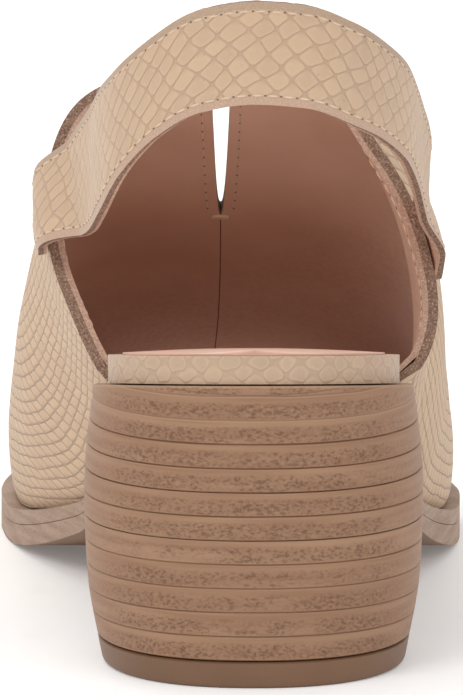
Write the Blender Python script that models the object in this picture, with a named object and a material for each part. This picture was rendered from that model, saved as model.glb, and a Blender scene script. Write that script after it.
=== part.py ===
"""Block heel slingback sandal for the right foot, empty and standing on its heel and ball.

X runs to the outer side of the foot, Y to the toe and Z up. The shapes are worked out with Y
counted from the rear of the heel; each object is then moved back so that the origin is on the
floor, in the middle of the heel's resting face. Every length is in metres.
"""

import math
from bisect import bisect_right
from collections import namedtuple

import bmesh
import bpy

# Driving sizes of the last and of the shoe on it.
SHOE_LENGTH = 0.236
BALL_WIDTH = 0.093
HEEL_HEIGHT = 0.058
INSTEP_HEIGHT = 0.105
TOE_SPRING = 0.008
SEAT_TILT_DEGREES = 8.5

# Heel block and seat.
SEAT_LENGTH = 0.048
SEAT_WIDTH = 0.056
SEAT_INSET = 0.001
HEEL_WIDTH = 0.065
HEEL_FOOT_LENGTH = 0.044
REAR_ROUND_DEPTH = 0.035
BREAST_CORNER = 0.003
TOP_PIECE_THICKNESS = 0.005
LIFT_THICKNESS = 0.0046
LIFT_GROOVE_DEPTH = 0.0004
LIFT_GROOVE_HEIGHT = 0.0005

# Thicknesses of the layers.
OUTSOLE_THICKNESS = 0.0041
MIDSOLE_THICKNESS = 0.0028
SEAT_THICKNESS = 0.0054
INSOLE_THICKNESS = 0.0030
SOCK_THICKNESS = 0.0008
SOCK_INSET = 0.0028
UPPER_WALL = 0.003
WELT_LIP = 0.0027
WAIST_LIP = 0.0004
GAP = 0.0003

# The slit at the top of the vamp.
SLIT_RUN = 0.035
SLIT_WIDTH = 0.0039

# The sling strap.
STRAP_SPREAD = 0.034
STRAP_HEIGHT = 0.121
STRAP_WIDTH = 0.0195
STRAP_THICKNESS = 0.0017
STRAP_CLEARANCE = 0.0006
STRAP_APPROACH = 0.016
STRAP_TOUCH = 0.004

# How finely the curved forms are cut.
SOLE_ROWS = 44
GIRTH_STEPS = 14
SLIT_STEPS = 8
VAMP_STEPS = 16
STRAP_STEPS = 56
STRAP_BANDS = 4
REAR_STEPS = 18

# Outline of the sole from above: shares of the length and of the ball width.
PlanRow = namedtuple("PlanRow", "along centre half_width")
SOLE_PLAN = (
    PlanRow(0.2034, 0.0, 0.3065),
    PlanRow(0.2712, 0.001, 0.2957),
    PlanRow(0.339, 0.002, 0.299),
    PlanRow(0.3898, 0.004, 0.3156),
    PlanRow(0.428, 0.002, 0.3366),
    PlanRow(0.4661, -0.002, 0.3613),
    PlanRow(0.5, -0.010, 0.3855),
    PlanRow(0.5381, -0.019, 0.4113),
    PlanRow(0.5805, -0.026, 0.4387),
    PlanRow(0.6271, -0.033, 0.4656),
    PlanRow(0.6695, -0.0387, 0.4839),
    PlanRow(0.7119, -0.0435, 0.4962),
    PlanRow(0.7627, -0.0484, 0.5022),
    PlanRow(0.8051, -0.0543, 0.4941),
    PlanRow(0.8686, -0.0667, 0.4634),
    PlanRow(0.9322, -0.0806, 0.4247),
    PlanRow(1.0, -0.102, 0.3656),
)
TOE_ROUND_START = 0.784
TOE_ROUND_POWER = 2.2
REAR_ROUND_POWER = 2.25

# Side view of the sole's underside: shares of the heel height and of the toe spring, and the
# share of the full edge thickness that the sole has there.
SideRow = namedtuple("SideRow", "along rise spring thickness")
SOLE_SIDE = (
    SideRow(0.2288, 0.766, 0.0, 0.70),
    SideRow(0.2627, 0.705, 0.0, 0.70),
    SideRow(0.3051, 0.597, 0.0, 0.71),
    SideRow(0.3475, 0.481, 0.0, 0.73),
    SideRow(0.3898, 0.367, 0.0, 0.76),
    SideRow(0.428, 0.272, 0.0, 0.80),
    SideRow(0.4661, 0.193, 0.0, 0.85),
    SideRow(0.5, 0.148, 0.0, 0.89),
    SideRow(0.5381, 0.105, 0.0, 0.94),
    SideRow(0.5805, 0.064, 0.0, 0.98),
    SideRow(0.6271, 0.0276, 0.0, 1.0),
    SideRow(0.6695, 0.0069, 0.0, 1.0),
    SideRow(0.699, 0.0, 0.0, 1.0),
    SideRow(0.784, 0.0, 0.0, 1.0),
    SideRow(0.858, 0.0, 0.15, 1.0),
    SideRow(0.926, 0.0, 0.475, 1.0),
    SideRow(1.0, 0.0, 1.0, 1.0),
)
WAIST_THICKNESS = 0.70
WELT_FULL_FROM = 0.58

# Cross sections of the last: where the ridge runs and how high, how far each wall flares out
# above its foot, and how square it is. Shares of length, ball width and instep height.
LastRow = namedtuple("LastRow", "along ridge_x ridge inner_flare outer_flare inner_square outer_square")
LAST = (
    LastRow(0.203, -0.068, 1.343, 0.240, 0.222, 2.3, 1.7),
    LastRow(0.339, -0.068, 1.110, 0.219, 0.162, 2.75, 1.8),
    LastRow(0.4025, -0.068, 1.0, 0.200, 0.142, 3.15, 2.5),
    LastRow(0.466, -0.068, 0.876, 0.175, 0.112, 3.5, 2.85),
    LastRow(0.551, -0.069, 0.705, 0.133, 0.080, 3.45, 2.85),
    LastRow(0.636, -0.070, 0.590, 0.082, 0.049, 3.1, 2.65),
    LastRow(0.7415, -0.074, 0.457, 0.038, 0.023, 2.7, 2.75),
    LastRow(0.847, -0.083, 0.343, 0.006, 0.004, 2.5, 2.5),
    LastRow(1.0, -0.100, 0.210, 0.018, 0.012, 2.3, 2.3),
)
INNER_FLARE_POWER = 0.73
OUTER_FLARE_POWER = 0.5

# The vamp's open back and the toe opening: how far along the edge lies at each share of the
# way up the wall.
EdgeRow = namedtuple("EdgeRow", "up along")
REAR_EDGE = (
    EdgeRow(0.0, 0.206),
    EdgeRow(0.14, 0.2415),
    EdgeRow(0.25, 0.271),
    EdgeRow(0.36, 0.2966),
    EdgeRow(0.62, 0.3305),
    EdgeRow(0.80, 0.356),
    EdgeRow(1.0, 0.4025),
)
TOE_EDGE = (
    EdgeRow(0.0, 0.953),
    EdgeRow(0.5, 0.936),
    EdgeRow(0.8, 0.911),
    EdgeRow(1.0, 0.8856),
)

# The heel's barrel shape: shares of the heel height and of the heel width.
BarrelRow = namedtuple("BarrelRow", "up width")
BARREL = (
    BarrelRow(0.0, 0.892),
    BarrelRow(0.3, 0.983),
    BarrelRow(0.57, 1.0),
    BarrelRow(0.85, 0.955),
    BarrelRow(1.0, 0.906),
)

# The sling strap from its inner tab round the heel to its outer tab: shares of the spread,
# the shoe's length, the strap's height at the rear and its width there.
StrapRow = namedtuple("StrapRow", "across along height width")
STRAP = (
    StrapRow(-1.30, 0.377, 0.634, 0.10),
    StrapRow(-1.25, 0.366, 0.634, 0.38),
    StrapRow(-1.20, 0.350, 0.638, 0.54),
    StrapRow(-1.16, 0.322, 0.653, 0.74),
    StrapRow(-1.08, 0.2966, 0.678, 0.92),
    StrapRow(-0.99, 0.262, 0.717, 1.05),
    StrapRow(-0.878, 0.191, 0.769, 1.20),
    StrapRow(-0.835, 0.127, 0.814, 1.20),
    StrapRow(-0.74, 0.072, 0.872, 1.08),
    StrapRow(-0.525, 0.034, 0.943, 1.0),
    StrapRow(-0.28, 0.0145, 0.987, 1.0),
    StrapRow(0.0, 0.0102, 1.0, 1.0),
    StrapRow(0.28, 0.0145, 0.993, 1.0),
    StrapRow(0.525, 0.032, 0.963, 1.0),
    StrapRow(0.703, 0.067, 0.925, 0.96),
    StrapRow(0.832, 0.115, 0.877, 0.95),
    StrapRow(0.882, 0.169, 0.826, 0.94),
    StrapRow(0.91, 0.212, 0.785, 0.98),
    StrapRow(0.95, 0.254, 0.735, 1.04),
    StrapRow(0.985, 0.292, 0.668, 1.0),
    StrapRow(1.0, 0.322, 0.618, 0.84),
    StrapRow(1.0, 0.350, 0.602, 0.58),
    StrapRow(1.0, 0.366, 0.600, 0.40),
    StrapRow(1.0, 0.377, 0.600, 0.10),
)


def smooth_curve(places, values):
    """A curve through the values that never overshoots them."""
    steps = [(values[i + 1] - values[i]) / (places[i + 1] - places[i]) for i in range(len(places) - 1)]
    slopes = [steps[0]]
    for before, after in zip(steps, steps[1:]):
        slopes.append(2 * before * after / (before + after) if before * after > 0 else 0.0)
    slopes.append(steps[-1])

    def value(place):
        i = min(max(bisect_right(places, place) - 1, 0), len(steps) - 1)
        span = places[i + 1] - places[i]
        s = min(max((place - places[i]) / span, 0.0), 1.0)
        from_start = values[i] * (1 + 2 * s) * (1 - s) ** 2 + values[i + 1] * s * s * (3 - 2 * s)
        return from_start + span * (slopes[i] * s * (1 - s) ** 2 - slopes[i + 1] * s * s * (1 - s))

    return value


def column(table, name, scale=1.0):
    return [getattr(row, name) * scale for row in table]


def soft_step(start, end, place):
    s = min(max((place - start) / (end - start), 0.0), 1.0)
    return s * s * (3 - 2 * s)


def seat_plane(y):
    return HEEL_HEIGHT - y * math.tan(math.radians(SEAT_TILT_DEGREES))


EDGE_THICKNESS = OUTSOLE_THICKNESS + GAP + MIDSOLE_THICKNESS
BED_TIP = SHOE_LENGTH - WELT_LIP - UPPER_WALL - GAP
plan_places = column(SOLE_PLAN, "along", SHOE_LENGTH)
sole_centre = smooth_curve(plan_places, column(SOLE_PLAN, "centre", BALL_WIDTH))
sole_half = smooth_curve(plan_places, column(SOLE_PLAN, "half_width", BALL_WIDTH))

side_places = [SEAT_LENGTH, *column(SOLE_SIDE, "along", SHOE_LENGTH)]
side_heights = [row.rise * HEEL_HEIGHT + row.spring * TOE_SPRING for row in SOLE_SIDE]
sole_share = smooth_curve(side_places, [WAIST_THICKNESS, *column(SOLE_SIDE, "thickness")])
seat_end_height = seat_plane(SEAT_LENGTH) - EDGE_THICKNESS * WAIST_THICKNESS
sole_bottom = smooth_curve(side_places, [seat_end_height, *side_heights])

last_places = column(LAST, "along", SHOE_LENGTH)
ridge_x = smooth_curve(last_places, column(LAST, "ridge_x", BALL_WIDTH))
ridge_height = smooth_curve(last_places, column(LAST, "ridge", INSTEP_HEIGHT))
flares = {
    -1: smooth_curve(last_places, column(LAST, "inner_flare", BALL_WIDTH)),
    1: smooth_curve(last_places, column(LAST, "outer_flare", BALL_WIDTH)),
}
flare_power = {-1: INNER_FLARE_POWER, 1: OUTER_FLARE_POWER}
squareness = {
    -1: smooth_curve(last_places, column(LAST, "inner_square")),
    1: smooth_curve(last_places, column(LAST, "outer_square")),
}
rear_edge = smooth_curve(column(REAR_EDGE, "up"), column(REAR_EDGE, "along", SHOE_LENGTH))
toe_edge = smooth_curve(column(TOE_EDGE, "up"), column(TOE_EDGE, "along", SHOE_LENGTH))
barrel = smooth_curve(column(BARREL, "up", HEEL_HEIGHT), column(BARREL, "width", HEEL_WIDTH / 2))


def sole_top(y):
    return sole_bottom(y) + EDGE_THICKNESS * sole_share(y)


def toe_round(y, tip):
    start = TOE_ROUND_START * SHOE_LENGTH
    s = min(max((y - start) / (tip - start), 0.0), 1.0)
    return (1 - s**TOE_ROUND_POWER) ** (1 / TOE_ROUND_POWER)


def rear_round(y, rear, depth):
    s = min(max((rear + depth - y) / depth, 0.0), 1.0)
    return (1 - s**REAR_ROUND_POWER) ** (1 / REAR_ROUND_POWER)


def sole_side(y, side, inset=0.0, tip=SHOE_LENGTH):
    """X of the sole's edge, moved in by an inset, on one side of the foot."""
    rounded = toe_round(y, tip)
    return sole_centre(y) + side * (sole_half(y) - inset) * rounded


def outsole_top(y):
    share = OUTSOLE_THICKNESS / (OUTSOLE_THICKNESS + MIDSOLE_THICKNESS)
    return sole_bottom(y) + (EDGE_THICKNESS * sole_share(y) - GAP) * share


def lip(y):
    ball = WELT_FULL_FROM * SHOE_LENGTH
    return WAIST_LIP + (WELT_LIP - WAIST_LIP) * soft_step(SEAT_LENGTH, ball, y)


def vamp_foot(y, side):
    """X of the vamp's outer face where it stands on the sole."""
    return sole_side(y, side, lip(y))


def vamp_foot_height(y):
    return sole_top(y) + GAP


def vamp_section(y, side, up):
    """X of the vamp's outer face at a share of the way up from its foot to the ridge."""
    square = squareness[side](y)
    foot = abs(vamp_foot(y, side) - ridge_x(y))
    half = foot + flares[side](y) * math.sin(up * math.pi / 2) ** flare_power[side]
    return ridge_x(y) + side * half * max(1 - up**square, 0.0) ** (1 / square)


def vamp_at_height(y, side, z):
    foot = vamp_foot_height(y)
    up = min(max((z - foot) / (ridge_height(y) - foot), 0.0), 1.0)
    return vamp_section(y, side, up)


def wing_edge_height(up):
    y = rear_edge(up)
    foot = vamp_foot_height(y)
    return foot + up * (ridge_height(y) - foot)


wing_shares = [i / 24 for i in range(25)]
wing_edge = smooth_curve([wing_edge_height(up) for up in wing_shares], [rear_edge(up) for up in wing_shares])


def insole_side(y, side):
    """X of the footbed's edge: the round seat at the back, then just inside the vamp's wall."""
    seat = side * SEAT_WIDTH / 2 * rear_round(y, SEAT_INSET, REAR_ROUND_DEPTH)
    wall_y = max(y, SEAT_LENGTH)
    inside = sole_side(wall_y, side, lip(wall_y) + UPPER_WALL + GAP, BED_TIP)
    blend = soft_step(SEAT_LENGTH - REAR_ROUND_DEPTH / 2, SEAT_LENGTH, y)
    return seat * (1 - blend) + inside * blend


def bed_bottom(y):
    if y <= SEAT_LENGTH:
        return seat_plane(y) + GAP
    return sole_top(y) + GAP


def bed_top(y):
    thin = soft_step(SEAT_LENGTH, SEAT_LENGTH + 0.03, y)
    return bed_bottom(y) + SEAT_THICKNESS * (1 - thin) + INSOLE_THICKNESS * thin


def material(name, colour, roughness):
    shade = bpy.data.materials.new(name)
    shade.use_nodes = True
    principled = shade.node_tree.nodes["Principled BSDF"]
    principled.inputs["Base Color"].default_value = (*colour, 1.0)
    principled.inputs["Roughness"].default_value = roughness
    principled.inputs["Metallic"].default_value = 0.0
    shade.diffuse_color = (*colour, 1.0)
    return shade


def new_object(name, bm, shade, smooth_angle=35):
    mesh = bpy.data.meshes.new(name)
    bm.to_mesh(mesh)
    bm.free()
    mesh.materials.append(shade)
    mesh.shade_smooth()
    mesh.set_sharp_from_angle(angle=math.radians(smooth_angle))
    thing = bpy.data.objects.new(name, mesh)
    thing.location.y = -HEEL_FOOT_LENGTH / 2
    bpy.context.scene.collection.objects.link(thing)
    return thing


def grid(columns, rows, place):
    """A sheet whose points are placed by a function of two shares, 0 to 1."""
    bm = bmesh.new()
    bmesh.ops.create_grid(bm, x_segments=columns, y_segments=rows, size=0.5)
    for vert in bm.verts:
        vert.co = place(vert.co.x + 0.5, vert.co.y + 0.5)
    return bm


def close_wall(bm, offset_of):
    """Turn a sheet into a closed wall: a copy of it moved by offset_of(vert), and a rim."""
    bm.normal_update()
    sheet_faces = list(bm.faces)
    rim = [edge.link_loops[0] for edge in bm.edges if edge.is_boundary]
    rim_ends = [(loop.vert, loop.link_loop_next.vert) for loop in rim]
    twin = {}
    for vert in list(bm.verts):
        twin[vert] = bm.verts.new(vert.co + offset_of(vert))
    for face in sheet_faces:
        bm.faces.new([twin[vert] for vert in reversed(face.verts)])
    for start, end in rim_ends:
        bm.faces.new([end, start, twin[start], twin[end]])
    bmesh.ops.recalc_face_normals(bm, faces=bm.faces)


def slab(name, rear, tip, side_of, top_of, bottom_of, shade):
    """A flat layer: ruled from side to side, with its rows closer together at both round ends."""

    def place(across, forward):
        y = rear + (tip - rear) * (1 - math.cos(forward * math.pi)) / 2
        x = side_of(y, -1) * (1 - across) + side_of(y, 1) * across
        return x, y, top_of(y)

    bm = grid(1, SOLE_ROWS, place)
    bmesh.ops.remove_doubles(bm, verts=bm.verts, dist=1e-6)
    bm.normal_update()

    def down(vert):
        offset = vert.co.copy()
        offset.xyz = (0, 0, bottom_of(vert.co.y) - vert.co.z)
        return offset

    close_wall(bm, down)
    return new_object(name, bm, shade)


def build_outsole():
    shade = material("stacked_edge_leather", (0.26, 0.16, 0.11), 0.6)
    return slab("outsole", SEAT_LENGTH, SHOE_LENGTH, sole_side, outsole_top, sole_bottom, shade)


def build_midsole():
    shade = material("welt_leather", (0.31, 0.2, 0.14), 0.6)

    def bottom(y):
        return outsole_top(y) + GAP

    return slab("midsole", SEAT_LENGTH, SHOE_LENGTH, sole_side, sole_top, bottom, shade)


def build_insole():
    shade = material("wrapped_footbed", (0.54, 0.38, 0.27), 0.55)
    return slab("insole", SEAT_INSET, BED_TIP, insole_side, bed_top, bed_bottom, shade)


def build_sock():
    shade = material("sock_lining", (0.55, 0.27, 0.2), 0.6)
    rear = SEAT_INSET + SOCK_INSET
    tip = BED_TIP - SOCK_INSET
    share = (SEAT_WIDTH / 2 - SOCK_INSET) / (SEAT_WIDTH / 2)

    def side_of(y, side):
        bed_y = SEAT_INSET + (y - rear) * (BED_TIP - SEAT_INSET) / (tip - rear)
        middle = (insole_side(bed_y, -1) + insole_side(bed_y, 1)) / 2
        return middle + (insole_side(bed_y, side) - middle) * share

    return slab(
        "sock_lining",
        rear,
        tip,
        side_of,
        lambda y: bed_top(y) + GAP + SOCK_THICKNESS,
        lambda y: bed_top(y) + GAP,
        shade,
    )


def heel_outline(half_width, front, grow=0.0):
    """Outline of the heel from above: round at the rear, straight at the breast."""
    points = []
    half = half_width + grow
    for i in range(REAR_STEPS + 1):
        angle = math.pi * i / REAR_STEPS
        reach = math.sin(angle) ** (2 / REAR_ROUND_POWER)
        across = math.copysign(abs(math.cos(angle)) ** (2 / REAR_ROUND_POWER), -math.cos(angle))
        points.append((across * half, REAR_ROUND_DEPTH - reach * (REAR_ROUND_DEPTH + grow)))
    for i in range(4):
        angle = math.pi / 2 * i / 3
        x = half - BREAST_CORNER * (1 - math.cos(angle))
        points.append((x, front + grow - BREAST_CORNER * (1 - math.sin(angle))))
    mirrored = [(-x, y) for x, y in reversed(points[-4:])]
    return points + mirrored


def breast(z):
    foot = HEEL_FOOT_LENGTH - GAP
    return foot + (SEAT_LENGTH - HEEL_FOOT_LENGTH) * min(z / seat_plane(SEAT_LENGTH), 1.0)


def stack(name, levels, shade):
    """A closed block through outlines at rising levels: (height function, how much wider)."""
    bm = bmesh.new()
    rings = []
    for height_of, grow in levels:
        middle = height_of(REAR_ROUND_DEPTH)
        outline = heel_outline(barrel(middle), breast(middle), grow)
        rings.append([bm.verts.new((x, y, height_of(y))) for x, y in outline])
    for lower, upper in zip(rings, rings[1:]):
        for i, vert in enumerate(lower):
            j = (i + 1) % len(lower)
            bm.faces.new([vert, lower[j], upper[j], upper[i]])
    bm.faces.new(list(reversed(rings[0])))
    bm.faces.new(rings[-1])
    bmesh.ops.recalc_face_normals(bm, faces=bm.faces)
    return new_object(name, bm, shade, 50)


def level(z):
    return lambda y: z


def build_heel():
    shade = material("heel_stack", (0.3, 0.17, 0.1), 0.55)
    bottom = TOP_PIECE_THICKNESS + GAP
    room = seat_plane(SEAT_LENGTH) - bottom - LIFT_GROOVE_HEIGHT
    lifts = int(room / LIFT_THICKNESS)
    levels = [(level(bottom), 0.0)]
    for i in range(1, lifts + 1):
        joint = bottom + i * LIFT_THICKNESS
        levels.append((level(joint - LIFT_GROOVE_HEIGHT / 2), 0.0))
        levels.append((level(joint), -LIFT_GROOVE_DEPTH))
        levels.append((level(joint + LIFT_GROOVE_HEIGHT / 2), 0.0))
    levels.append((seat_plane, 0.0))
    return stack("heel_stack", levels, shade)


def build_top_piece():
    shade = material("top_piece_rubber", (0.2, 0.11, 0.065), 0.5)
    edge = LIFT_GROOVE_HEIGHT
    levels = [
        (level(0.0), -edge),
        (level(edge), 0.0),
        (level(TOP_PIECE_THICKNESS), 0.0),
    ]
    return stack("heel_top_piece", levels, shade)


def slit_half(y):
    throat = rear_edge(1.0)
    s = min(max((y - throat) / SLIT_RUN, 0.0), 1.0)
    return SLIT_WIDTH / 2 * math.sqrt(1 - s)


def vamp_half(side):
    """One half of the vamp's outer face, from its foot on the sole to the ridge."""
    slit_share = SLIT_RUN / (toe_edge(1.0) - rear_edge(1.0))
    slit_rows = SLIT_STEPS / (SLIT_STEPS + VAMP_STEPS)

    def place(girth, forward):
        up = math.sin(girth * math.pi / 2) ** (2 / 2.4)
        if forward <= slit_rows:
            travel = slit_share * forward / slit_rows
        else:
            travel = slit_share + (1 - slit_share) * (forward - slit_rows) / (1 - slit_rows)
        y = rear_edge(up) + (toe_edge(up) - rear_edge(up)) * travel
        foot = vamp_foot_height(y)
        x = vamp_section(y, side, up)
        pull = max(girth - 0.75, 0.0) / 0.25
        return x + side * slit_half(y) * pull, y, foot + up * (ridge_height(y) - foot)

    return grid(GIRTH_STEPS, SLIT_STEPS + VAMP_STEPS, place)


def build_upper():
    shade = material("scale_leather", (0.56, 0.4, 0.28), 0.6)
    bm = bmesh.new()
    for side in (-1, 1):
        half = vamp_half(side)
        if side > 0:
            bmesh.ops.reverse_faces(half, faces=half.faces)
        mesh = bpy.data.meshes.new("half")
        half.to_mesh(mesh)
        half.free()
        bm.from_mesh(mesh)
        bpy.data.meshes.remove(mesh)
    bmesh.ops.remove_doubles(bm, verts=bm.verts, dist=1e-6)

    def inward(vert):
        normal = vert.normal.copy()
        if vert.co.z - vamp_foot_height(vert.co.y) < 1e-6:
            normal.z = 0
            normal.normalize()
        return normal * -UPPER_WALL

    bmesh.ops.recalc_face_normals(bm, faces=bm.faces)
    close_wall(bm, inward)
    return new_object("upper", bm, shade)


def build_strap():
    shade = material("strap_leather", (0.62, 0.44, 0.31), 0.6)
    places = [i / (len(STRAP) - 1) for i in range(len(STRAP))]
    across = smooth_curve(places, column(STRAP, "across", STRAP_SPREAD))
    along = smooth_curve(places, column(STRAP, "along", SHOE_LENGTH))
    height = smooth_curve(places, column(STRAP, "height", STRAP_HEIGHT))
    width = smooth_curve(places, column(STRAP, "width", STRAP_WIDTH))

    def place(run, band):
        x = across(run)
        y = along(run)
        z = height(run) + (band - 0.5) * width(run)
        side = -1 if x < 0 else 1
        edge = wing_edge(z) - STRAP_TOUCH
        on_vamp = abs(vamp_at_height(max(y, edge), side, z)) + STRAP_CLEARANCE
        lies = soft_step(edge - STRAP_APPROACH, edge, y)
        reach = abs(x) * (1 - lies) + on_vamp * lies
        return side * reach, y, z

    bm = grid(STRAP_STEPS, STRAP_BANDS, place)
    bmesh.ops.recalc_face_normals(bm, faces=bm.faces)
    bm.normal_update()
    bm.faces.ensure_lookup_table()
    rearmost = min(bm.faces, key=lambda face: face.calc_center_median().y)
    if rearmost.normal.y > 0:
        bmesh.ops.reverse_faces(bm, faces=bm.faces)
    close_wall(bm, lambda vert: vert.normal * STRAP_THICKNESS)
    return new_object("sling_strap", bm, shade)


def main():
    for thing in list(bpy.data.objects):
        bpy.data.objects.remove(thing, do_unlink=True)
    build_outsole()
    build_midsole()
    build_insole()
    build_sock()
    build_heel()
    build_top_piece()
    build_upper()
    build_strap()


main()
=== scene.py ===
import math
from bisect import bisect_right

import bmesh
import bpy
from mathutils import Matrix, Vector, kdtree, noise


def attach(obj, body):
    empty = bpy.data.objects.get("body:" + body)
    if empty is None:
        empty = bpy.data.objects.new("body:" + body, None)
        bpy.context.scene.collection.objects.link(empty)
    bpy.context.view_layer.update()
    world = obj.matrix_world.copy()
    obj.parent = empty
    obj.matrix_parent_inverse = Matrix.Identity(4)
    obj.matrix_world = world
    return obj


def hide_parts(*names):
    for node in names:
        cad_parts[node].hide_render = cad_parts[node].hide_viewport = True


# Block heel slingback sandal for the right foot, seen from behind. Shapes are worked out in metres
# with Y counted from the rear of the heel, and moved onto the frame's origin as each is finished.
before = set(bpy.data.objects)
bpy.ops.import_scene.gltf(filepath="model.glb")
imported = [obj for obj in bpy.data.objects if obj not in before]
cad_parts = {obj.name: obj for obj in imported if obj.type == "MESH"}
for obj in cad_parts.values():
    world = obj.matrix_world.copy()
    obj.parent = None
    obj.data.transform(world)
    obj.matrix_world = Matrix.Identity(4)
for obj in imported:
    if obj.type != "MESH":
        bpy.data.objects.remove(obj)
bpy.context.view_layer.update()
scene = bpy.context.scene
print("frame loaded,", len(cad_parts), "solids")

# Camera, light and floor. The camera stands where the photograph was taken from.
studio = {
    "cameraPlace": (-0.00425, -2.1848, 0.4079),
    "cameraPitch": 9.0,
    "lens": 602.85,
    "sensor": 36,
    "skyStrength": 0.88,
    "skyColour": (1.0, 0.992, 0.98),
    "floorColour": (0.97, 0.97, 0.97),
    "floorGlow": 0.13,
    "floorRadius": 60.0,
    "softboxes": [  # name, place, aim, size, power
        ("keySoftbox", (-1.1, -1.5, 1.7), (0, 0.05, 0.06), 1.1, 15.0),
        ("fillSoftbox", (1.7, -1.3, 0.9), (0, 0.05, 0.06), 1.4, 2.0),
        ("rimSoftbox", (-0.4, 1.4, 1.6), (0, 0.08, 0.05), 1.0, 9.0),
    ],
}

camera = bpy.data.cameras.new("photoCamera")
camera.lens = studio["lens"]
camera.sensor_width = studio["sensor"]
camera.sensor_fit = "AUTO"
cameraObject = bpy.data.objects.new("photoCamera", camera)
cameraObject.location = studio["cameraPlace"]
cameraObject.rotation_euler = (math.radians(90 - studio["cameraPitch"]), 0, 0)
scene.collection.objects.link(cameraObject)
scene.camera = cameraObject
scene.view_settings.view_transform = "Standard"

for name, place, aim, size, power in studio["softboxes"]:
    lamp = bpy.data.lights.new(name, "AREA")
    lamp.shape = "SQUARE"
    lamp.size = size
    lamp.energy = power
    lampObject = bpy.data.objects.new(name, lamp)
    lampObject.location = place
    lampObject.rotation_euler = (Vector(aim) - Vector(place)).to_track_quat("-Z", "Y").to_euler()
    scene.collection.objects.link(lampObject)

sky = bpy.data.worlds.new("studioSky")
sky.use_nodes = True
sky.node_tree.nodes["Background"].inputs["Color"].default_value = (*studio["skyColour"], 1)
sky.node_tree.nodes["Background"].inputs["Strength"].default_value = studio["skyStrength"]
scene.world = sky


# The last and the sole, with the values of the solids: shares of the shoe's length, of the ball's
# width, or of the height that the key names.
last = {
    "length": 0.236, "ballWidth": 0.093, "heelHeight": 0.058, "instepHeight": 0.105, "toeSpring": 0.008,
    "seatTilt": math.tan(math.radians(8.5)), "heelToOrigin": 0.022,
    "rows": [  # along, ridge x, ridge height, inner flare, outer flare, inner and outer squareness
        (0.203, -0.068, 1.343, 0.240, 0.222, 2.3, 1.7), (0.339, -0.068, 1.110, 0.219, 0.162, 2.75, 1.8),
        (0.4025, -0.068, 1.0, 0.200, 0.142, 3.15, 2.5), (0.466, -0.068, 0.876, 0.175, 0.112, 3.5, 2.85),
        (0.551, -0.069, 0.705, 0.133, 0.080, 3.45, 2.85), (0.636, -0.070, 0.590, 0.082, 0.049, 3.1, 2.65),
        (0.7415, -0.074, 0.457, 0.038, 0.023, 2.7, 2.75), (0.847, -0.083, 0.343, 0.006, 0.004, 2.5, 2.5),
        (1.0, -0.100, 0.210, 0.018, 0.012, 2.3, 2.3),
    ],
    "flarePower": {-1: 0.73, 1: 0.5},
    "rearEdge": [(0.0, 0.206), (0.14, 0.2415), (0.25, 0.271), (0.36, 0.2966), (0.62, 0.3305), (0.80, 0.356),
                 (1.0, 0.4025)],
    "toeEdge": [(0.0, 0.953), (0.5, 0.936), (0.8, 0.911), (1.0, 0.8856)],
}
sole = {
    "plan": [  # along, centre, half width
        (0.2034, 0.0, 0.3065), (0.2712, 0.001, 0.2957), (0.339, 0.002, 0.299), (0.3898, 0.004, 0.3156),
        (0.428, 0.002, 0.3366), (0.4661, -0.002, 0.3613), (0.5, -0.010, 0.3855), (0.5381, -0.019, 0.4113),
        (0.5805, -0.026, 0.4387), (0.6271, -0.033, 0.4656), (0.6695, -0.0387, 0.4839),
        (0.7119, -0.0435, 0.4962), (0.7627, -0.0484, 0.5022), (0.8051, -0.0543, 0.4941),
        (0.8686, -0.0667, 0.4634), (0.9322, -0.0806, 0.4247), (1.0, -0.102, 0.3656),
    ],
    "side": [  # along, rise, spring, share of the full edge thickness
        (0.2288, 0.766, 0.0, 0.70), (0.2627, 0.705, 0.0, 0.70), (0.3051, 0.597, 0.0, 0.71),
        (0.3475, 0.481, 0.0, 0.73), (0.3898, 0.367, 0.0, 0.76), (0.428, 0.272, 0.0, 0.80),
        (0.4661, 0.193, 0.0, 0.85), (0.5, 0.148, 0.0, 0.89), (0.5381, 0.105, 0.0, 0.94),
        (0.5805, 0.064, 0.0, 0.98), (0.6271, 0.0276, 0.0, 1.0), (0.6695, 0.0069, 0.0, 1.0),
        (0.699, 0.0, 0.0, 1.0), (0.784, 0.0, 0.0, 1.0), (0.858, 0.0, 0.15, 1.0), (0.926, 0.0, 0.475, 1.0),
        (1.0, 0.0, 1.0, 1.0),
    ],
    "outsole": 0.0041, "midsole": 0.0028, "gap": 0.0003, "waistShare": 0.70,
    "toeStart": 0.784, "toePower": 2.2, "lip": 0.0027, "waistLip": 0.0004, "lipFrom": 0.58,
}
seat = {
    "length": 0.048, "width": 0.056, "inset": 0.001, "thickness": 0.0054, "bedThickness": 0.0030,
    "rearDepth": 0.035, "rearPower": 2.25, "wall": 0.003,
    "sock": 0.0008, "sockEdge": 0.0004, "sockInset": 0.0028,
}


# Finishes: each is one material, fed by the dictionary that goes with it.
class Signal:  # a node's output, so that shader maths is written as plain expressions
    def __init__(self, finish, socket):
        self.finish = finish
        self.socket = socket

    def __add__(self, other):
        return self.finish.maths("ADD", self, other)

    def __sub__(self, other):
        return self.finish.maths("SUBTRACT", self, other)

    def __rsub__(self, other):
        return self.finish.maths("SUBTRACT", other, self)

    def __mul__(self, other):
        return self.finish.maths("MULTIPLY", self, other)

    def __truediv__(self, other):
        return self.finish.maths("DIVIDE", self, other)

    def __pow__(self, other):
        return self.finish.maths("POWER", self, other)

    def __abs__(self):
        return self.finish.maths("ABSOLUTE", self)

    __radd__ = __add__
    __rmul__ = __mul__


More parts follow.
